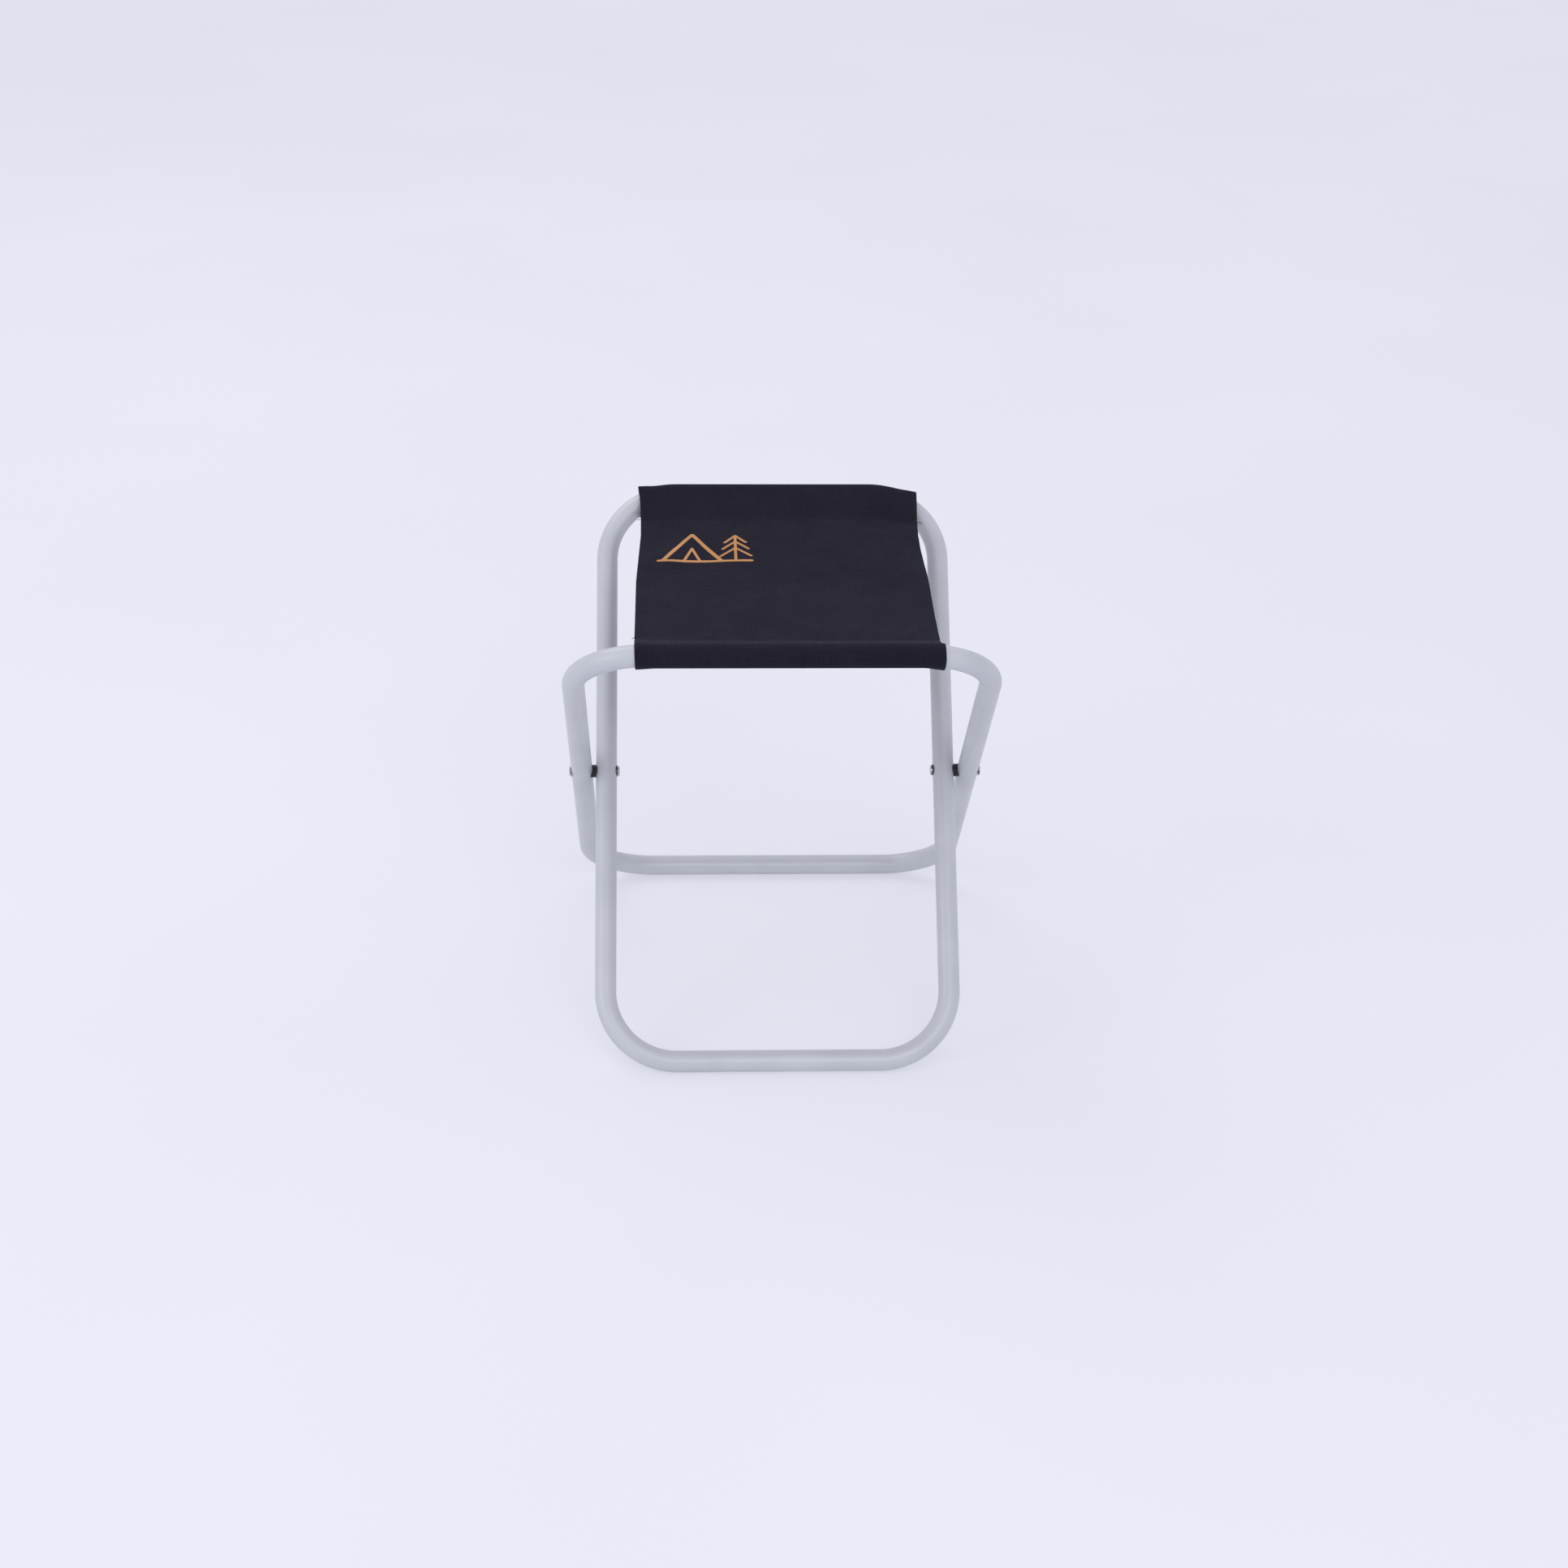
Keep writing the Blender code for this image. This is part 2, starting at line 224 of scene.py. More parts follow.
# Thread ends: name, half of the seat, column of the cloth, offset, heading and length.
THREAD_ENDS = (
    ("rear_seam_thread_end", "rear", -1, (-0.004, 0, 0.0002), (1.0, 0.0, 0.1), 0.0095),
    ("rear_seam_left_thread_end", "rear", 0, (0.002, 0, 0.0002), (-1.0, 0.3, 0.3), 0.0050),
    ("front_seam_thread_end", "front", 0, (0.002, 0, 0), (-1.0, -0.1, 0.25), 0.0045),
)

# ---------------------------------------------------------------- camera and lights

CAMERA_PLACE = (-0.0765, -2.0815, 1.2706)
CAMERA_TURN_RIGHT = radians(2.319)
CAMERA_LOOK_DOWN = radians(27.570)
CAMERA_ROLL = radians(0.885)
CAMERA_LENS = 62.478
CAMERA_SENSOR = 36.0

FLOOR_HALF = 14.0
FLOOR_GAP = 0.0002
LIGHT_TARGET = (0, 0, 0.2)
LIGHTS = (
    # name, place, size, power, colour
    ("key_light", (-1.3, 1.5, 2.6), 1.8, 13.5, (1.0, 0.99, 0.97)),
    ("left_light", (-2.2, -1.2, 1.4), 1.6, 11.0, (0.98, 0.99, 1.0)),
    ("front_light", (0.5, -2.6, 2.0), 1.8, 20.0, (0.98, 0.99, 1.0)),
)


# ---------------------------------------------------------------- shader helpers

class Shader:
    """A material's node tree, with short calls for the nodes that the materials need."""

    def __init__(self, name):
        self.material = bpy.data.materials.new(name)
        self.material.use_nodes = True
        self.tree = self.material.node_tree
        self.principled = self.tree.nodes["Principled BSDF"]

    def node(self, kind, inputs=(), **settings):
        made = self.tree.nodes.new("ShaderNode" + kind)
        for key, value in settings.items():
            setattr(made, key, value)
        for key, value in dict(inputs).items():
            self.plug(made.inputs[key], value)
        return made

    def plug(self, socket, value):
        if isinstance(value, bpy.types.NodeSocket):
            self.tree.links.new(value, socket)
        else:
            socket.default_value = value

    def math(self, operation, *values, clamp=False):
        made = self.node("Math", dict(enumerate(values)), operation=operation, use_clamp=clamp)
        return made.outputs[0]

    def vector_math(self, operation, *values):
        return self.node("VectorMath", dict(enumerate(values)), operation=operation)

    def noise(self, vector, scale, detail=2.0, roughness=0.5):
        inputs = {"Vector": vector, "Scale": scale, "Detail": detail, "Roughness": roughness}
        return self.node("TexNoise", inputs).outputs["Fac"]

    def remap(self, value, low, high, new_low=0.0, new_high=1.0):
        inputs = {0: value, 1: low, 2: high, 3: new_low, 4: new_high}
        return self.node("MapRange", inputs).outputs[0]

    def mix_colour(self, share, colour_a, colour_b):
        inputs = {0: share, 6: colour_a, 7: colour_b}
        return self.node("Mix", inputs, data_type="RGBA").outputs[2]

    def object_coordinates(self):
        return self.node("TexCoord").outputs["Object"]

    def stretched(self, vector, scale):
        return self.node("Mapping", {"Vector": vector, "Scale": scale}).outputs[0]

    def bump(self, height, distance, strength=1.0, normal=None):
        inputs = {"Height": height, "Distance": distance, "Strength": strength}
        if normal is not None:
            inputs["Normal"] = normal
        return self.node("Bump", inputs).outputs[0]

    def surface(self, **values):
        names = {"colour": "Base Color", "roughness": "Roughness", "metallic": "Metallic",
                 "normal": "Normal", "specular": "Specular IOR Level",
                 "coat": "Coat Weight", "coat_roughness": "Coat Roughness",
                 "sheen": "Sheen Weight", "sheen_roughness": "Sheen Roughness",
                 "sheen_tint": "Sheen Tint"}
        for key, value in values.items():
            self.plug(self.principled.inputs[names[key]], value)
        return self.material


def rgb(red, green, blue):
    return (red, green, blue, 1.0)


# ---------------------------------------------------------------- materials

def powder_coat():
    """Satin light grey powder coat: fine orange peel, faint mottling, scuffed where it stands."""
    shader = Shader("powder_coat_paint")
    place = shader.object_coordinates()
    mottle = shader.noise(place, 22.0, 4.0)
    colour = shader.mix_colour(
        shader.remap(mottle, 0.3, 0.7), rgb(0.461, 0.475, 0.511), rgb(0.504, 0.518, 0.554))
    speck = shader.remap(shader.noise(place, 1900.0, 1.0), 0.62, 0.75, 0.0, 0.25)
    colour = shader.mix_colour(speck, colour, rgb(0.62, 0.64, 0.69))
    height = shader.node("SeparateXYZ", {0: place}).outputs[2]
    near_floor = shader.remap(height, 0.0015, 0.0045, 1.0, 0.0)
    scratches = shader.noise(shader.stretched(place, (18.0, 420.0, 420.0)), 1.0, 5.0, 0.65)
    scuff = shader.math("MULTIPLY", near_floor, shader.remap(scratches, 0.45, 0.62))
    colour = shader.mix_colour(
        shader.math("MULTIPLY", scuff, 0.55), colour, rgb(0.23, 0.23, 0.24))
    peel = shader.noise(place, 620.0, 2.0, 0.45)
    roughness = shader.remap(shader.noise(place, 60.0, 3.0), 0.3, 0.7, 0.34, 0.44)
    roughness = shader.math("ADD", roughness, shader.math("MULTIPLY", scuff, 0.25))
    normal = shader.bump(peel, 0.00007, 0.55)
    return shader.surface(colour=colour, roughness=roughness, normal=normal,
                          specular=0.55, coat=0.25, coat_roughness=0.22)


def plated_steel(name, light, dark, rough_low, rough_high):
    """Plated rivet steel: turned marks, small pits and a duller tone in patches."""
    shader = Shader(name)
    place = shader.object_coordinates()
    patches = shader.noise(place, 420.0, 4.0, 0.6)
    colour = shader.mix_colour(shader.remap(patches, 0.35, 0.68), light, dark)
    marks = shader.noise(shader.stretched(place, (9000.0, 1500.0, 1500.0)), 1.0, 2.0)
    pits = shader.remap(shader.noise(place, 1600.0, 2.0), 0.62, 0.72)
    height = shader.math("SUBTRACT", shader.math("MULTIPLY", marks, 0.4), pits)
    roughness = shader.remap(patches, 0.3, 0.7, rough_low, rough_high)
    return shader.surface(colour=colour, roughness=roughness, metallic=1.0,
                          normal=shader.bump(height, 0.00004, 0.6))


def black_plastic():
    """Moulded black nylon with a fine spark-eroded grain and a few pale rubbed spots."""
    shader = Shader("moulded_black_plastic")
    place = shader.object_coordinates()
    grain = shader.noise(place, 2600.0, 2.0, 0.6)
    rubbed = shader.remap(shader.noise(place, 500.0, 3.0), 0.60, 0.74, 0.0, 0.5)
    colour = shader.mix_colour(rubbed, rgb(0.007, 0.006, 0.011), rgb(0.022, 0.021, 0.029))
    roughness = shader.remap(grain, 0.3, 0.7, 0.42, 0.6)
    return shader.surface(colour=colour, roughness=roughness, specular=0.4,
                          normal=shader.bump(grain, 0.00005, 0.6))


def stroke_distance(shader, place, start, end):
    """Distance from a place on the cloth to a straight stroke between two points."""
    along = Vector((end[0] - start[0], end[1] - start[1], 0.0))
    from_start = shader.vector_math("SUBTRACT", place, (start[0], start[1], 0.0)).outputs[0]
    share = shader.vector_math("DOT_PRODUCT", from_start, tuple(along)).outputs["Value"]
    share = shader.math("DIVIDE", share, along.length_squared, clamp=True)
    inputs = {0: tuple(along), "Scale": share}
    foot = shader.node("VectorMath", inputs, operation="SCALE").outputs[0]
    from_stroke = shader.vector_math("SUBTRACT", from_start, foot).outputs[0]
    return shader.vector_math("LENGTH", from_stroke).outputs["Value"]


def tent_print(shader, cloth_place):
    """Mask of a plain drawing of a tent and a fir tree, printed near the rear left corner."""
    place = shader.vector_math("SUBTRACT", cloth_place, (-0.061, 0.069, 0.0)).outputs[0]
    bold = (
        ((-0.035, -0.026), (-0.010, 0.025)),
        ((0.015, -0.026), (-0.010, 0.025)),
        ((-0.038, -0.026), (0.040, -0.026)),
    )
    fine = (
        ((-0.017, -0.026), (-0.010, -0.002)),
        ((-0.003, -0.026), (-0.010, -0.002)),
        ((0.027, -0.026), (0.027, 0.024)),
        ((0.018, 0.010), (0.027, 0.024)),
        ((0.036, 0.010), (0.027, 0.024)),
        ((0.016, -0.003), (0.027, 0.012)),
        ((0.038, -0.003), (0.027, 0.012)),
        ((0.014, -0.017), (0.027, -0.001)),
        ((0.040, -0.017), (0.027, -0.001)),
    )
    nearest = None
    for strokes, half_width in ((bold, 0.0019), (fine, 0.0012)):
        for start, end in strokes:
            distance = stroke_distance(shader, place, start, end)
            distance = shader.math("SUBTRACT", distance, half_width)
            nearest = distance if nearest is None else shader.math("MINIMUM", nearest, distance)
    ragged = shader.remap(shader.noise(cloth_place, 1400.0, 2.0), 0.2, 0.8, -0.00025, 0.00025)
    return shader.remap(shader.math("ADD", nearest, ragged), -0.0002, 0.0002, 1.0, 0.0)


def seat_cloth():
    """Near-black polyester in a plain weave, with slubs, lint, a painted highlight along the bars'
    crests and a tan print.
    """
    shader = Shader("woven_seat_cloth")
    cloth_place = shader.node("Attribute", attribute_name="cloth").outputs["Vector"]
    across, along = shader.node("SeparateXYZ", {0: cloth_place}).outputs[:2]
    thread_pitch = 0.00075
    warp = shader.math("SINE", shader.math("MULTIPLY", across, pi / thread_pitch))
    weft = shader.math("SINE", shader.math("MULTIPLY", along, pi / thread_pitch))
    weave = shader.math("MULTIPLY", warp, weft)
    warp_slub = shader.noise(shader.stretched(cloth_place, (1300.0, 45.0, 1.0)), 1.0, 3.0, 0.6)
    weft_slub = shader.noise(shader.stretched(cloth_place, (45.0, 1300.0, 1.0)), 1.0, 3.0, 0.6)
    slub = shader.math("ADD", warp_slub, weft_slub)
    fuzz = shader.noise(cloth_place, 2400.0, 3.0, 0.6)
    mottle = shader.noise(cloth_place, 26.0, 4.0, 0.55)

    tone = shader.math("ADD", shader.math("MULTIPLY", weave, 0.20), 0.20)
    tone = shader.math("ADD", tone, shader.remap(slub, 0.7, 1.3, -0.22, 0.30))
    tone = shader.math("ADD", tone, shader.remap(mottle, 0.3, 0.7, -0.10, 0.16))
    tone = shader.math("ADD", tone, shader.remap(fuzz, 0.35, 0.7, -0.05, 0.15), clamp=True)
    colour = shader.mix_colour(tone, rgb(0.0084, 0.0079, 0.0146), rgb(0.0214, 0.0201, 0.0333))

    # Painted highlight: the cloth is made lighter in a narrow strip along its crest over each bar,
    # broken up by the slubs.
    crest = shader.math("ABSOLUTE", along)
    crest = shader.math("ABSOLUTE", shader.math("SUBTRACT", crest, PANEL_HALF + 0.045))
    crest_highlight = shader.math("MULTIPLY", shader.remap(crest, 0.0, 0.006, 0.14, 0.0),
                       shader.remap(slub, 0.8, 1.2))
    colour = shader.mix_colour(crest_highlight, colour, rgb(0.050, 0.047, 0.065))
    lint = shader.remap(shader.noise(cloth_place, 200.0, 0.0), 0.875, 0.93, 0.0, 0.16)
    colour = shader.mix_colour(lint, colour, rgb(0.15, 0.15, 0.17))

    ink_cover = shader.remap(shader.math("ADD", weave, fuzz), -0.9, 0.1, 0.80, 0.98)
    outer_side = shader.node("Attribute", attribute_name="outer_side").outputs["Fac"]
    ink = shader.math("MULTIPLY", tent_print(shader, cloth_place), ink_cover)
    ink = shader.math("MULTIPLY", ink, outer_side)
    ink_colour = shader.mix_colour(
        shader.remap(mottle, 0.3, 0.7), rgb(0.50, 0.235, 0.088), rgb(0.60, 0.30, 0.120))
    colour = shader.mix_colour(ink, colour, ink_colour)

    height = shader.math("ADD", shader.math("MULTIPLY", weave, 0.5), slub)
    height = shader.math("ADD", height, shader.math("MULTIPLY", fuzz, 0.5))
    height = shader.math("SUBTRACT", height, shader.math("MULTIPLY", ink, 0.3))
    normal = shader.bump(height, 0.00012, 0.75)
    roughness = shader.remap(ink, 0.0, 1.0, 0.82, 0.62)
    return shader.surface(colour=colour, roughness=roughness, normal=normal, specular=0.07,
                          sheen=0.02, sheen_roughness=0.45, sheen_tint=rgb(0.75, 0.73, 0.95))


def sewing_thread():
    """Black twisted polyester thread, a little shinier than the cloth."""
    shader = Shader("black_sewing_thread")
    place = shader.object_coordinates()
    twist = shader.noise(shader.stretched(place, (2500.0, 2500.0, 900.0)), 1.0, 2.0)
    colour = shader.mix_colour(
        shader.remap(twist, 0.3, 0.7), rgb(0.008, 0.0073, 0.012), rgb(0.023, 0.0213, 0.032))
    return shader.surface(colour=colour, roughness=0.7, normal=shader.bump(twist, 0.00006, 0.7),
                          specular=0.1, sheen=0.02, sheen_roughness=0.4)


def studio_floor():
    """Bright even floor, partly lit by itself as an overexposed studio sweep looks."""
    shader = Shader("pale_studio_floor")
    place = shader.object_coordinates()
    tone = shader.remap(shader.noise(place, 1.6, 2.0), 0.3, 0.7)
    colour = shader.mix_colour(tone, rgb(0.345, 0.345, 0.37), rgb(0.355, 0.355, 0.38))
    glow = shader.mix_colour(tone, rgb(0.448, 0.450, 0.504), rgb(0.458, 0.460, 0.514))
    shader.plug(shader.principled.inputs["Emission Color"], glow)
    shader.plug(shader.principled.inputs["Emission Strength"], 1.0)
    return shader.surface(colour=colour, roughness=0.8, specular=0.1)


# ---------------------------------------------------------------- mesh helpers

def add_mesh(name, vertices, faces, material, sharp_angle=38):
    """Add a smooth-shaded object whose edges above the sharp angle (degrees) stay crisp."""
    mesh = bpy.data.meshes.new(name)
    mesh.from_pydata([tuple(v) for v in vertices], [], faces)
    mesh.validate()
    mesh.materials.append(material)
    mesh.shade_smooth()
    mesh.set_sharp_from_angle(angle=radians(sharp_angle))
    obj = bpy.data.objects.new(name, mesh)
    bpy.context.scene.collection.objects.link(obj)
    return obj


def band(first, second, count, flip=False):
    """Faces between two rings of vertices that start at two places in the vertex list."""
    faces = []
    for index in range(count):
        following = (index + 1) % count
        face = (first + index, first + following, second + following, second + index)
        faces.append(face[::-1] if flip else face)
    return faces


def outward(obj):
    """Turn the faces of a closed mesh outward."""
    bm = bmesh.new()
    bm.from_mesh(obj.data)
    bmesh.ops.recalc_face_normals(bm, faces=bm.faces)
    bm.to_mesh(obj.data)
    bm.free()
    return obj


# ---------------------------------------------------------------- tube loops

def loop_stations(half_width):
    """Walk once round a loop from its joint: centre as (across, along the leg) and angle."""
    corner_x = half_width - BEND_RADIUS
    corner_along = LEG_LENGTH - BEND_RADIUS
    corners = (
        (corner_x, corner_along, pi / 2),
        (corner_x, BEND_RADIUS, 0.0),
        (-corner_x, BEND_RADIUS, -pi / 2),
        (-corner_x, corner_along, -pi),
    )
    stations = [(END_GAP / 2, LEG_LENGTH, pi / 2)]
    for across, along, first_angle in corners:
        for step in range(BEND_STEPS + 1):
            angle = first_angle - pi / 2 * step / BEND_STEPS
            stations.append((across + BEND_RADIUS * cos(angle),
                             along + BEND_RADIUS * sin(angle), angle))
    stations.append((-END_GAP / 2, LEG_LENGTH, -3 * pi / 2))
    return stations


def tube_loop(name, node, body, half_width, foot, top_bar, material):
    """Smooth hollow tube in the place of a CAD loop."""
    leg = (top_bar - foot) / LEG_LENGTH
    plane_normal = np.cross((1.0, 0.0, 0.0), leg)
    turns = 2 * pi * (np.arange(TUBE_SIDES) + 0.5) / TUBE_SIDES
    stations = loop_stations(half_width)
    vertices = []
    for radius in (TUBE_RADIUS, TUBE_RADIUS - TUBE_WALL):
        for across, along, outward_angle in stations:
            centre = foot + np.array((across, 0, 0)) + leg * along
            out = np.array((cos(outward_angle), 0, 0)) + leg * sin(outward_angle)
            around = np.outer(np.cos(turns), out) + np.outer(np.sin(turns), plane_normal)
            vertices.extend(centre + radius * around)
    faces = []
    inside = len(stations) * TUBE_SIDES
    for index in range(len(stations) - 1):
        start = index * TUBE_SIDES
        faces += band(start, start + TUBE_SIDES, TUBE_SIDES)
        faces += band(inside + start, inside + start + TUBE_SIDES, TUBE_SIDES, flip=True)
    last = (len(stations) - 1) * TUBE_SIDES
    faces += band(0, inside, TUBE_SIDES, flip=True)
    faces += band(last, inside + last, TUBE_SIDES)
    tube = outward(add_mesh(name, vertices, faces, material))
    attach(tube, body)
    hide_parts(node)
    return tube


# ---------------------------------------------------------------- rivets and washers

def turned(name, profile, material, closed, saddle=None):
    """Turn an outline of (x, radius) points about the pivot axis.

    saddle is (leg's direction, radius of the curve, shares): every point of the outline moves
    along x by its share of the curve's fall, to wrap the tube beside it.
    """
    turns = 2 * pi * np.arange(ROUND_SIDES) / ROUND_SIDES
    vertices = []
    for x, radius in profile:
        flat = (np.full(ROUND_SIDES, x), radius * np.cos(turns), radius * np.sin(turns))
        vertices.extend(np.stack(flat, 1))
    faces = []
    for index in range(len(profile) - 1):
        faces += band(index * ROUND_SIDES, (index + 1) * ROUND_SIDES, ROUND_SIDES)
    if closed:
        faces += band((len(profile) - 1) * ROUND_SIDES, 0, ROUND_SIDES)
    else:
        for ring_index in (0, len(profile) - 1):
            pole = len(vertices)
            vertices.append(np.array((profile[ring_index][0], 0.0, 0.0)))
            ring_start = ring_index * ROUND_SIDES
            for index in range(ROUND_SIDES):
                following = (index + 1) % ROUND_SIDES
                faces.append((pole, ring_start + index, ring_start + following))
    points = np.array(vertices)
    if saddle is not None:
        leg, curve_radius, shares = saddle
        aside = points[:, 1] * -leg[2] + points[:, 2] * leg[1]
        fall = curve_radius - np.sqrt(curve_radius**2 - aside**2)
        points[:, 0] -= fall * np.repeat(shares, ROUND_SIDES)
    return outward(add_mesh(name, points + PIVOT, faces, material))


def rounded_profile(low_x, high_x, bore, rim, corner):
    """Cross-section of a ring with rounded outer corners."""
    sign = 1 if high_x > low_x else -1
    angles = [pi / 2 * step / CORNER_STEPS for step in range(CORNER_STEPS + 1)]
    points = [(low_x, bore)]
    points += [(low_x + sign * corner * (1 - cos(angle)), rim - corner * (1 - sin(angle)))
               for angle in angles]
    points += [(high_x - sign * corner * (1 - sin(angle)), rim - corner * (1 - cos(angle)))
               for angle in angles]
    points.append((high_x, bore))
    return points


def pivot_hardware(side, sign, materials):
    """Rivet, rivet washers and saddle washers of one pivot, in the places of their CAD nodes."""
    legs = {
        "outer": (FRONT_BAR - OUTER_FOOT) / LEG_LENGTH,
        "inner": (REAR_BAR - INNER_FOOT) / LEG_LENGTH,
    }
    bodies = {"outer": "outer_frame", "inner": "inner_frame"}
    centres = {"outer": OUTER_HALF_WIDTH, "inner": INNER_HALF_WIDTH}

    rivet_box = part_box(side + "_pivot_rivet")
    ends = sorted((abs(rivet_box[0].x), abs(rivet_box[1].x)))
    head_radius = (rivet_box[1].z - rivet_box[0].z) / 2
    profile = []
    for end_x, way, head_height in ((ends[0], 1, INNER_HEAD_HEIGHT),
                                    (ends[1], -1, OUTER_HEAD_HEIGHT)):
        head = []
        for step in range(1, DOME_STEPS + 1):
            angle = pi / 2 * step / DOME_STEPS
            rise = (head_height - HEAD_RIM_HEIGHT) * (1 - cos(angle))
            head.append((sign * (end_x + way * rise), head_radius * sin(angle)))
        head.append((sign * (end_x + way * head_height), head_radius))
        head.append((sign * (end_x + way * head_height), SHANK_RADIUS))
        profile = profile + head if way == 1 else profile + head[::-1]
    rivet = turned(side + "_rivet", profile, materials["steel"], closed=False)
    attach(rivet, "outer_frame")
    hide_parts(side + "_pivot_rivet")

    for layer in ("outer", "inner"):
        way = 1 if layer == "outer" else -1
        node = side + "_" + layer + "_rivet_washer"
        low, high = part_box(node)
        near, far = sorted((abs(low.x), abs(high.x)), reverse=(layer == "inner"))
        outline = rounded_profile(sign * near, sign * far, WASHER_BORE, (high.z - low.z) / 2,
                                  CURVED_WASHER_CORNER)
        shares = np.full(len(outline), 0.5 * sign * way)
        washer = turned(side + "_" + layer + "_curved_washer", outline, materials["dark_steel"],
                        closed=True, saddle=(legs[layer], TUBE_RADIUS + CURVED_WASHER_GAP, shares))
        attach(washer, bodies[layer])
        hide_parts(node)

        node = side + "_" + layer + "_saddle_washer"
        low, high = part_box(node)
        flat_x = (OUTER_HALF_WIDTH + INNER_HALF_WIDTH) / 2 + way * SADDLE_FACE_GAP
        seat_x = centres[layer] - way * (TUBE_RADIUS + SADDLE_GAP)
        outline = rounded_profile(sign * flat_x, sign * seat_x, WASHER_BORE,
                                  (high.z - low.z) / 2, SADDLE_CORNER)
        shares = np.zeros(len(outline))
        shares[len(outline) // 2:] = -1.0 * sign * way
        washer = turned(side + "_" + layer + "_saddle", outline, materials["black_plastic"],
                        closed=True, saddle=(legs[layer], TUBE_RADIUS + SADDLE_GAP, shares))
        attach(washer, bodies[layer])
        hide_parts(node)


# ---------------------------------------------------------------- the cloth's middle surface

def smooth_step(value, low, high):
    """Rise smoothly from 0 at low to 1 at high."""
    share = np.clip((value - low) / (high - low), 0.0, 1.0)
    return share * share * (3 - 2 * share)


def hem_share(distance_from_side):
    """1 on the folded hem and 0 on the single cloth beside it."""
    return 1 - smooth_step(distance_from_side, HEM_WIDTH - HEM_EDGE, HEM_WIDTH + HEM_EDGE)


def side_edges(along):
    """Where the cloth's left and right sides lie, by the distance along it from its middle."""
    stations, left, right = SIDE_STATIONS.T
    return np.interp(along, stations, left), np.interp(along, stations, right)


def seam_lift(x, is_rear):
    """Height of the seam over its usual height: the slack cloth twists a little at its sides."""
    to_left = float(np.clip(-x / TWIST_LEFT, 0, 1))
    if is_rear:
        to_right = float(smooth_step(x, *TWIST_RIGHT))
        return -REAR_LEFT_DROP * to_left**2 - REAR_RIGHT_DROP * to_right
    return FRONT_LEFT_RISE * to_left**3


def hull_outline(circles, first_angle, last_angle, steps):
    """Walk round the rounded hull of some circles, each (distance, height, radius)."""
    points = []
    for angle in np.linspace(first_angle, last_angle, steps):
        direction = (cos(angle), sin(angle))
        reach = [c[0] * direction[0] + c[1] * direction[1] + c[2] for c in circles]
        distance, height, radius = circles[int(np.argmax(reach))]
        points.append((distance + radius * direction[0], height + radius * direction[1]))
    return np.array(points)


def resample(points, count):
    """Place count points evenly along a line of points."""
    steps = np.linalg.norm(np.diff(points, axis=0), axis=1)
    reached = np.concatenate([[0.0], np.cumsum(steps)])
    wanted = np.linspace(0.0, reached[-1], count)
    return np.stack([np.interp(wanted, reached, points[:, k]) for k in range(2)], 1)


def half_profile(x, side_gap, half_width, is_rear):
    """The cloth's line in the plane across the bar at x, from the seat's middle to its end.

    Points are (distance from the bar towards the middle, height over the bar's centre).
    """
    leg_slope = ((REAR_BAR - INNER_FOOT) / LEG_LENGTH)[1:]
    into_leg = np.array((leg_slope[0], -leg_slope[1]))
    hem_spread = float(1 - smooth_step(side_gap, HEM_WIDTH - 0.003, HEM_WIDTH + 0.007))
    radius = TUBE_RADIUS + CLOTH_HALF_THICKNESS + POCKET_SLACK + HEM_EXTRA * hem_spread
    past = max(0.0, abs(x) - (half_width - BEND_RADIUS))
    drops = []
    for bend_side, sign in ((BEND_RADIUS + radius, 1), (BEND_RADIUS - radius, -1)):
        drops.append(bend_side - np.sqrt(bend_side**2 - past**2))
    lift = seam_lift(x, is_rear)
    seam_height = SEAM_HEIGHT - REAR_BAR[2] + lift
    inner_row = SEAM_DISTANCE - SEAM_ROW_GAP
    inner_row_height = seam_height + INNER_ROW_RISE
    reach = RIGHT_REACH if x > 0 else LEFT_REACH
    held = reach * (1 - np.exp(-drops[0] / reach))
    circles = [
        (*(into_leg * held), radius),
        (*(into_leg * drops[0]), radius),
        (*(into_leg * drops[1]), radius),
        (inner_row, inner_row_height - LAYER_SPACING / 2, LAYER_SPACING / 2),
    ]
    axis = atan2(inner_row_height, inner_row)
    pocket = hull_outline(
        circles, axis + POCKET_FIRST_ANGLE, axis + POCKET_LAST_ANGLE, HULL_STEPS)
    panel_share = np.linspace(0.0, 1.0, PANEL_STEPS)
    panel = np.stack([
        BAR_OFFSET + (SEAM_DISTANCE - BAR_OFFSET) * panel_share,
        seam_height - PANEL_SAG * (1 - panel_share**2) - lift * (1 - panel_share**4),
    ], 1)
    between_rows = np.array([[SEAM_DISTANCE, seam_height], [inner_row, inner_row_height]])
    flap_height = seam_height - LAYER_SPACING - FLAP_GAP
    flap = np.array([
        [inner_row, inner_row_height - LAYER_SPACING],
        [SEAM_DISTANCE, flap_height],
        [SEAM_DISTANCE + FLAP_LENGTH, flap_height - FLAP_DROP],
    ])
    parts = [
        resample(panel, int(PANEL_HALF / CELL) + 1)[:-1],
        resample(between_rows, SEAM_ROW_COUNT)[:-1],
        resample(pocket, POCKET_COUNT)[:-1],
        resample(flap, FLAP_COUNT),
    ]
    return np.concatenate(parts)


def smooth_along(line, times, fixed):
    """Round off the corners of a line of points; its first points and its last stay in place."""
    for _ in range(times):
        middle = (line[:-2] + 2 * line[1:-1] + line[2:]) / 4
        line[fixed:-1] = middle[fixed - 1:]
    return line


def column_shares():
    """Places across the cloth from 0 to 1, close together on the hems."""
    hem = np.linspace(0.0, HEM_WIDTH + 0.0015, HEM_CELLS + 1)
    count = int((CLOTH_WIDTH - 2 * hem[-1]) / CELL) + 1
    middle = np.linspace(hem[-1], CLOTH_WIDTH - hem[-1], count)
    places = np.concatenate([hem[:-1], middle, (CLOTH_WIDTH - hem)[::-1][1:]])
    return places / CLOTH_WIDTH


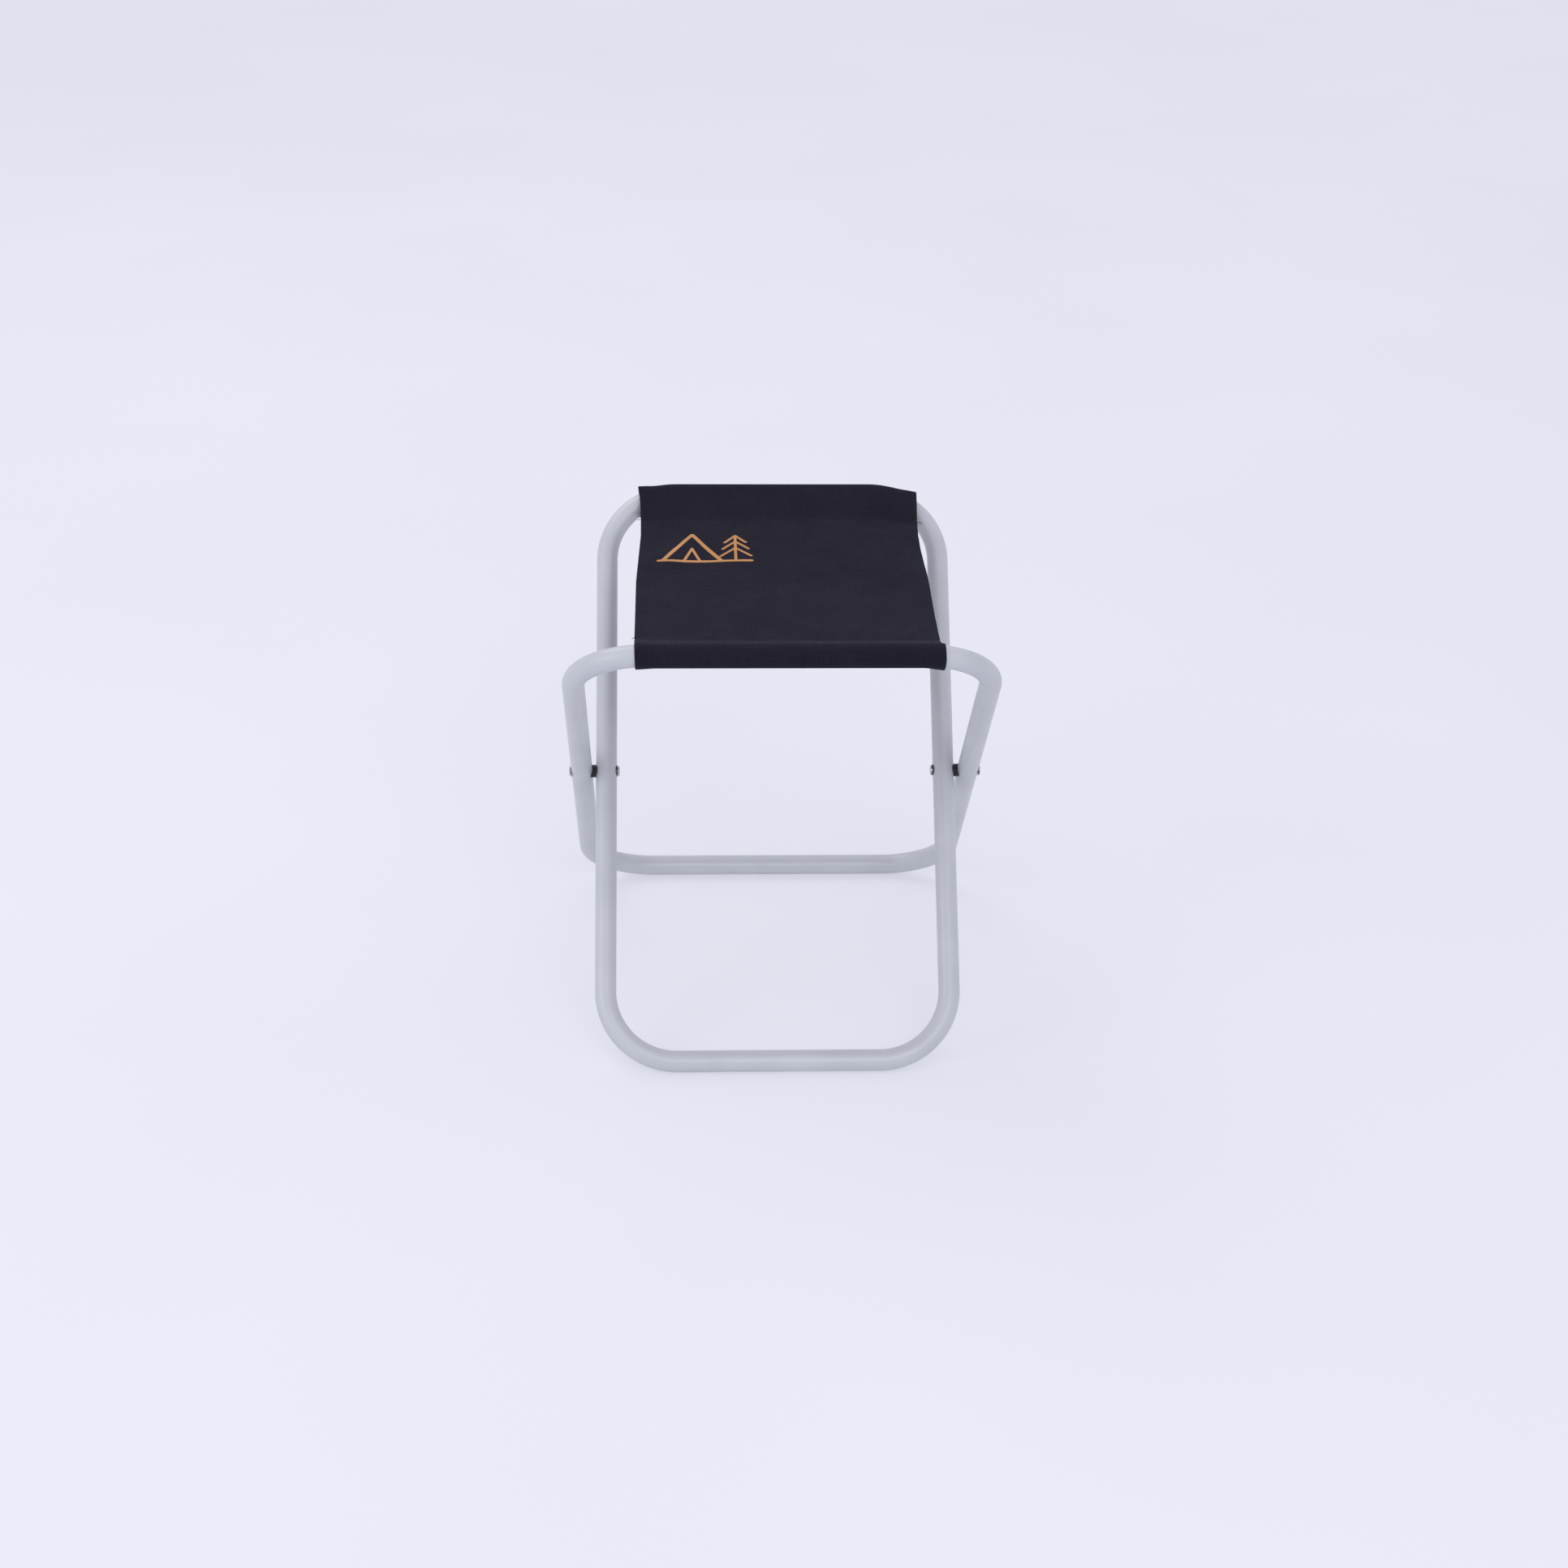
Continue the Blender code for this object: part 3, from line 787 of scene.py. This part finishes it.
def lay_out_cloth():
    """The whole cloth's middle surface: points[row, column], and each point's flat place.

    Row 0 is the free end under the front of the panel and the last row the one under its rear.
    """
    shares = column_shares()
    halves = []
    flat = []
    for is_rear in (False, True):
        sign = 1 if is_rear else -1
        half_width = INNER_HALF_WIDTH if is_rear else OUTER_HALF_WIDTH
        columns = []
        pocket_left, pocket_right = side_edges(sign * POCKET_STATION)
        for share in shares:
            x = pocket_left + share * (pocket_right - pocket_left)
            side_gap = min(x - pocket_left, pocket_right - x)
            line = half_profile(x, side_gap, half_width, is_rear)
            columns.append(smooth_along(line, ROUNDING_PASSES, ROUNDING_FIXED))
        lines = np.stack(columns, 1)
        steps = np.linalg.norm(np.diff(lines, axis=0), axis=2).mean(axis=1)
        along = sign * np.concatenate([[0.0], np.cumsum(steps)])
        left, right = side_edges(along)
        x = left[:, None] + shares[None, :] * (right - left)[:, None]
        y = sign * (BAR_OFFSET - lines[:, :, 0])
        z = REAR_BAR[2] + lines[:, :, 1]
        halves.append(np.stack([x, y, z], 2))
        flat.append(np.stack([x, np.repeat(along[:, None], len(shares), 1)], 2))
    points = np.concatenate([halves[0][:0:-1], halves[1]])
    places = np.concatenate([flat[0][:0:-1], flat[1]])
    return points, places


def wrinkles(places):
    """Small soft undulations of slack cloth, made of a few seeded waves."""
    source = np.random.default_rng(WRINKLE_SEED)
    height = np.zeros(places.shape[:2])
    for _ in range(WRINKLE_WAVES):
        length = source.uniform(*WRINKLE_LENGTHS)
        heading = source.uniform(0, 2 * pi)
        phase = source.uniform(0, 2 * pi)
        wave = (places[..., 0] * cos(heading) + places[..., 1] * sin(heading)) * 2 * pi / length
        height += np.sin(wave + phase) * length
    return height / np.abs(height).max()


def simulate_sag(points, places):
    """Let the panel between the seams hang by cloth simulation, and return how far it moved."""
    rows = np.where(np.abs(places[:, 0, 1]) <= PANEL_HALF)[0][::2]
    columns = np.unique(np.concatenate([[0], np.arange(4, points.shape[1] - 4, 2),
                                        [points.shape[1] - 1]]))
    coarse = points[np.ix_(rows, columns)]
    count = len(columns)
    faces = []
    for row in range(len(rows) - 1):
        for column in range(count - 1):
            corner = row * count + column
            faces.append((corner, corner + 1, corner + count + 1, corner + count))
    mesh = bpy.data.meshes.new("hanging_panel")
    mesh.from_pydata([tuple(p) for p in coarse.reshape(-1, 3)], [], faces)
    panel = bpy.data.objects.new("hanging_panel", mesh)
    bpy.context.scene.collection.objects.link(panel)
    seam_rows = list(range(2 * count)) + list(range((len(rows) - 2) * count, len(rows) * count))
    pinned = panel.vertex_groups.new(name="seams")
    pinned.add(seam_rows, 1.0, "REPLACE")
    cloth = panel.modifiers.new("hang", "CLOTH")
    for setting, value in SAG_SETTINGS.items():
        setattr(cloth.settings, setting, value)
    cloth.collision_settings.use_collision = False
    scene = bpy.context.scene
    for step in range(1, SAG_FRAMES + 1):
        scene.frame_set(step)
    evaluated = panel.evaluated_get(bpy.context.evaluated_depsgraph_get())
    hung = np.empty(len(mesh.vertices) * 3)
    evaluated.data.vertices.foreach_get("co", hung)
    moved = hung.reshape(coarse.shape) - coarse
    scene.frame_set(1)
    bpy.data.objects.remove(panel)
    moved = np.clip(np.nan_to_num(moved), -SAG_LIMIT, SAG_LIMIT)
    shift = np.zeros_like(points)
    inside = np.arange(rows[0], rows[-1] + 1)
    all_columns = np.arange(points.shape[1])
    for axis in range(3):
        by_row = np.stack([np.interp(all_columns, columns, line) for line in moved[..., axis]])
        shift[inside, :, axis] = np.stack(
            [np.interp(inside, rows, by_row[:, column]) for column in all_columns], 1)
    return shift


def surface_normals(points):
    """Unit normals of the cloth's grid of points, upward in its middle."""
    along_rows = np.gradient(points, axis=0)
    along_columns = np.gradient(points, axis=1)
    normals = np.cross(along_columns, along_rows)
    normals /= np.linalg.norm(normals, axis=2, keepdims=True)
    middle = points.shape[0] // 2
    if normals[middle, points.shape[1] // 2, 2] < 0:
        normals = -normals
    return normals


def groove(distance, width):
    """1 at no distance, falling away over the width."""
    return np.exp(-((distance / width) ** 2))


def cloth_thickness(places, side_gap):
    """How far the outer and inner faces stand from the middle surface."""
    along = np.abs(places[..., 1])
    hem = hem_share(side_gap)
    outer = CLOTH_HALF_THICKNESS + HEM_OUTER_EXTRA * hem
    inner = CLOTH_HALF_THICKNESS + HEM_EXTRA * hem
    stitch_wave = 0.6 + 0.4 * np.cos(2 * pi * places[..., 1] / STITCH_PITCH)
    hem_line = groove(side_gap - HEM_STITCH, HEM_GROOVE_WIDTH)
    outer = outer - HEM_GROOVE_DEPTH * hem_line * stitch_wave
    across_wave = 0.7 + 0.3 * np.cos(2 * pi * places[..., 0] / STITCH_PITCH)
    for row in (PANEL_HALF, PANEL_HALF + SEAM_ROW_GAP):
        seam_line = groove(along - row, SEAM_GROOVE_WIDTH)
        outer = outer - SEAM_GROOVE_DEPTH * seam_line * across_wave
    return outer, inner


# ---------------------------------------------------------------- cloth pieces

def cloth_piece(name, points, normals, places, side_gap, material):
    """Closed sheet of cloth with rounded sides, from its middle surface."""
    outer, inner = cloth_thickness(places, side_gap)
    top = points + normals * outer[..., None]
    under = points - normals * inner[..., None]
    rows, columns = points.shape[:2]
    centre = (top + under) / 2
    half = (top - under) / 2
    out_left = points[:, 0] - points[:, 1]
    out_right = points[:, -1] - points[:, -2]
    rims = []
    for column, away, turns in ((-1, out_right, (45, 90, 135)), (0, out_left, (135, 90, 45))):
        away = away / np.linalg.norm(away, axis=1, keepdims=True)
        thickness = np.linalg.norm(half[:, column], axis=1, keepdims=True)
        rims.append([centre[:, column] + half[:, column] * cos(radians(turn))
                     + away * thickness * 0.9 * sin(radians(turn)) for turn in turns])
    ring = np.concatenate([
        top, np.stack(rims[0], 1), under[:, ::-1], np.stack(rims[1], 1)], 1)
    count = ring.shape[1]
    rim = len(rims[0])
    faces = []
    for row in range(rows - 1):
        faces += band(row * count, (row + 1) * count, count)
    for row in (0, rows - 1):
        start = row * count
        under_left = start + 2 * columns + rim - 1
        for column in range(columns - 1):
            across = under_left - column
            faces.append((start + column, start + column + 1, across - 1, across))
        right_rim = [start + columns - 1 + k for k in range(rim + 2)]
        left_rim = [under_left + k for k in range(rim + 1)] + [start]
        faces += [tuple(right_rim), tuple(left_rim)]
    piece = outward(add_mesh(name, ring.reshape(-1, 3), faces, material, sharp_angle=55))
    flat = np.concatenate([places, np.repeat(places[:, -1:], rim, 1),
                           places[:, ::-1], np.repeat(places[:, :1], rim, 1)], 1)
    stored = np.concatenate([flat, np.zeros((rows, count, 1))], 2)
    attribute = piece.data.attributes.new("cloth", "FLOAT_VECTOR", "POINT")
    attribute.data.foreach_set("vector", stored.astype(np.float32).ravel())
    outer_side = np.zeros((rows, count), np.float32)
    outer_side[:, :columns] = 1
    attribute = piece.data.attributes.new("outer_side", "FLOAT", "POINT")
    attribute.data.foreach_set("value", outer_side.ravel())
    return piece, top, under


def thread_sides(rings):
    """Faces round a thread of so many rings, without the ones at its ends."""
    faces = []
    for ring in range(rings - 1):
        faces += band(ring * THREAD_SIDES, (ring + 1) * THREAD_SIDES, THREAD_SIDES)
    return faces


def stitch(place, heading, up):
    """One stitch: a short thread that dips into the cloth at both ends."""
    side = np.cross(heading, up)
    vertices = []
    for share, size, lift in STITCH_RINGS:
        centre = place + heading * STITCH_LENGTH * share + up * THREAD_RADIUS * lift
        for corner in range(THREAD_SIDES):
            angle = 2 * pi * corner / THREAD_SIDES
            vertices.append(centre + THREAD_RADIUS * size * (side * cos(angle) + up * sin(angle)))
    faces = thread_sides(len(STITCH_RINGS))
    first_ring = range(THREAD_SIDES)
    last_ring = range(len(vertices) - THREAD_SIDES, len(vertices))
    faces += [tuple(first_ring)[::-1], tuple(last_ring)]
    return vertices, faces


def stitch_row(line, ups, end_margin):
    """Place, heading and up of every stitch along a line of points on the cloth."""
    stitches = []
    lengths = np.concatenate([[0.0], np.cumsum(np.linalg.norm(np.diff(line, axis=0), axis=1))])
    for start in np.arange(end_margin, lengths[-1] - end_margin, STITCH_PITCH):
        place = np.array([np.interp(start, lengths, line[:, k]) for k in range(3)])
        ahead = np.array([np.interp(start + 0.001, lengths, line[:, k]) for k in range(3)])
        up = np.array([np.interp(start, lengths, ups[:, k]) for k in range(3)])
        heading = (ahead - place) / np.linalg.norm(ahead - place)
        up = up - heading * up.dot(heading)
        stitches.append((place, heading, up / np.linalg.norm(up)))
    return stitches


def stitches_piece(name, top, under, normals, places, side_gap, material):
    """All the stitches of one half of the seat, on both faces of the cloth, as one piece."""
    along = np.abs(places[:, 0, 1])
    stitches = []
    for row_place in (PANEL_HALF, PANEL_HALF + SEAM_ROW_GAP, along.max() - FLAP_LENGTH):
        row = int(np.argmin(np.abs(along - row_place)))
        stitches += stitch_row(top[row], normals[row], SEAM_END_MARGIN)
    middle_row = 0 if along[0] < along[-1] else len(along) - 1
    off_stitch = np.abs(side_gap[middle_row] - HEM_STITCH)
    half_count = len(off_stitch) // 2
    for column in (int(np.argmin(off_stitch[:half_count])),
                   half_count + int(np.argmin(off_stitch[half_count:]))):
        stitches += stitch_row(top[:, column], normals[:, column], HEM_END_MARGIN)
        stitches += stitch_row(under[:, column], -normals[:, column], HEM_END_MARGIN)
    vertices = []
    faces = []
    for place, heading, up in stitches:
        points, shape = stitch(place, heading, up)
        faces += [tuple(len(vertices) + index for index in face) for face in shape]
        vertices += points
    return outward(add_mesh(name, vertices, faces, material, sharp_angle=60))


def loose_thread(name, start, heading, length, material):
    """A cut end of sewing thread that sticks out of a seam and droops."""
    rings = 9
    sway, droop = 0.0010, 0.0016
    root_radius, taper = 1.7 * THREAD_RADIUS, 0.35
    vertices = []
    for ring in range(rings):
        share = ring / (rings - 1)
        centre = start + heading * length * share
        centre = centre + np.array((0.0, sway * sin(3 * share), -droop * share**2))
        size = root_radius * (1.0 - taper * share)
        for corner in range(THREAD_SIDES):
            angle = 2 * pi * corner / THREAD_SIDES
            vertices.append(centre + size * np.array((0.0, cos(angle), sin(angle))))
    first_ring = range(THREAD_SIDES)
    last_ring = range(len(vertices) - THREAD_SIDES, len(vertices))
    faces = thread_sides(rings) + [tuple(first_ring), tuple(last_ring)]
    return outward(add_mesh(name, vertices, faces, material))


def add_relief(points, places):
    """Lift the cloth by soft wrinkles, a crease at the rear right and puckers at the seams."""
    across, along = places[..., 0], places[..., 1]
    from_middle = np.abs(along)
    normals = surface_normals(points)
    soft = wrinkles(places)
    on_panel = 1 - smooth_step(from_middle, *PANEL_FADE)
    on_bar = smooth_step(from_middle, *BAR_FADE_IN)
    on_bar = on_bar * (1 - smooth_step(from_middle, *BAR_FADE_OUT))
    right, rearward = across - CREASE_PLACE[0], along - CREASE_PLACE[1]
    aside = right * CREASE_HEADING[0] + rearward * CREASE_HEADING[1]
    down = right * CREASE_HEADING[1] - rearward * CREASE_HEADING[0]
    seam_pinch = groove(from_middle - PANEL_HALF, SEAM_PINCH)
    pucker_wave = np.sin(2 * pi * across / PUCKER_PITCH + 3 * soft)
    pocket_wrinkles = np.clip(soft, 0, 1) * WRINKLE_HEIGHT * (1 - on_panel) * (1 - on_bar)
    for height in (
        soft * WRINKLE_HEIGHT * on_panel,
        CREASE_HEIGHT * groove(aside, CREASE_WIDTH) * groove(down, CREASE_LENGTH),
        pocket_wrinkles * (1 - seam_pinch),
        PUCKER_HEIGHT * pucker_wave * groove(
            from_middle - PANEL_HALF + PUCKER_PLACE, PUCKER_WIDTH),
    ):
        points = points + normals * height[..., None]
    return points


def make_seat(materials):
    """The cloth, its stitches and its thread ends, each cut into a front and a rear piece."""
    points, places = lay_out_cloth()
    left, right = side_edges(places[:, :1, 1])
    side_gap = np.minimum(places[..., 0] - left, right - places[..., 0])
    points = points + simulate_sag(points, places)
    points = add_relief(points, places)
    normals = surface_normals(points)

    middle = points.shape[0] // 2
    for half, rows, bar, sign in (("front", slice(0, middle + 1), FRONT_BAR, 1),
                                  ("rear", slice(middle, None), REAR_BAR, -1)):
        cloth, top, under = cloth_piece(
            "seat_" + half + "_cloth", points[rows], normals[rows], places[rows],
            side_gap[rows], materials["cloth"])
        sewing = stitches_piece(
            "seat_" + half + "_stitches", top, under, normals[rows], places[rows],
            side_gap[rows], materials["thread"])
        from_middle = np.abs(places[rows][:, 0, 1])
        seam_row = int(np.argmin(np.abs(from_middle - PANEL_HALF)))
        threads = [
            loose_thread(name, top[seam_row, column] + offset, np.array(heading), length,
                         materials["thread"])
            for name, thread_half, column, offset, heading, length in THREAD_ENDS
            if thread_half == half]
        for piece in [cloth, sewing] + threads:
            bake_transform(piece)
        names = ["seat_" + half + part for part in ("_panel", "_left_hem", "_right_hem")]
        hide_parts(half + "_sleeve", *names)


# ---------------------------------------------------------------- stage

def add_camera():
    """Camera in front of the stool, a little left of its middle, looking down at it."""
    level = cos(CAMERA_LOOK_DOWN)
    forward = Vector((sin(CAMERA_TURN_RIGHT) * level, cos(CAMERA_TURN_RIGHT) * level,
                      -sin(CAMERA_LOOK_DOWN)))
    level_right = forward.cross(Vector((0, 0, 1))).normalized()
    level_up = level_right.cross(forward)
    right = level_right * cos(CAMERA_ROLL) + level_up * sin(CAMERA_ROLL)
    up = level_up * cos(CAMERA_ROLL) - level_right * sin(CAMERA_ROLL)
    data = bpy.data.cameras.new("camera")
    data.lens = CAMERA_LENS
    data.sensor_width = CAMERA_SENSOR
    camera = bpy.data.objects.new("camera", data)
    rotation = Matrix((right, up, -forward)).transposed().to_4x4()
    camera.matrix_world = Matrix.Translation(Vector(CAMERA_PLACE)) @ rotation
    bpy.context.scene.collection.objects.link(camera)
    bpy.context.scene.camera = camera


def add_area_light(name, place, size, power, colour):
    """Round soft light, aimed at the stool."""
    data = bpy.data.lights.new(name, "AREA")
    data.shape = "DISK"
    data.size = size
    data.energy = power
    data.color = colour
    light = bpy.data.objects.new(name, data)
    light.location = place
    aim = Vector(LIGHT_TARGET) - Vector(place)
    light.rotation_euler = aim.to_track_quat("-Z", "Y").to_euler()
    bpy.context.scene.collection.objects.link(light)


def add_stage():
    """Floor, even light from all round and three soft lights."""
    corners = [(x * FLOOR_HALF, y * FLOOR_HALF, 0)
               for x, y in ((-1, -1), (1, -1), (1, 1), (-1, 1))]
    floor = add_mesh("studio_floor", corners, [(0, 1, 2, 3)], studio_floor())
    floor.location.z = cad_low.z - FLOOR_GAP
    world = bpy.data.worlds.new("studio")
    world.use_nodes = True
    background = world.node_tree.nodes["Background"]
    background.inputs["Color"].default_value = rgb(0.905, 0.910, 1.0)
    background.inputs["Strength"].default_value = 0.86
    bpy.context.scene.world = world
    for light in LIGHTS:
        add_area_light(*light)
    bpy.context.scene.view_settings.view_transform = "Standard"


# ---------------------------------------------------------------- the stool

def make_stool():
    """The two tube loops, the pivots between them and the seat that they carry."""
    materials = {
        "paint": powder_coat(),
        "steel": plated_steel(
            "plated_rivet_steel", rgb(0.66, 0.65, 0.64), rgb(0.42, 0.41, 0.41), 0.20, 0.38),
        "dark_steel": plated_steel(
            "dark_washer_steel", rgb(0.16, 0.16, 0.17), rgb(0.07, 0.07, 0.075), 0.35, 0.55),
        "black_plastic": black_plastic(),
        "cloth": seat_cloth(),
        "thread": sewing_thread(),
    }
    tube_loop("wide_tube_loop", "outer_frame_tube", "outer_frame", OUTER_HALF_WIDTH,
              OUTER_FOOT, FRONT_BAR, materials["paint"])
    tube_loop("narrow_tube_loop", "inner_frame_tube", "inner_frame", INNER_HALF_WIDTH,
              INNER_FOOT, REAR_BAR, materials["paint"])
    for node in ("outer_frame_joiner", "inner_frame_joiner"):
        frame["nodes"][node].material_slots[0].material = materials["steel"]
    for side, sign in (("left", -1), ("right", 1)):
        pivot_hardware(side, sign, materials)
    make_seat(materials)


add_camera()
add_stage()
make_stool()
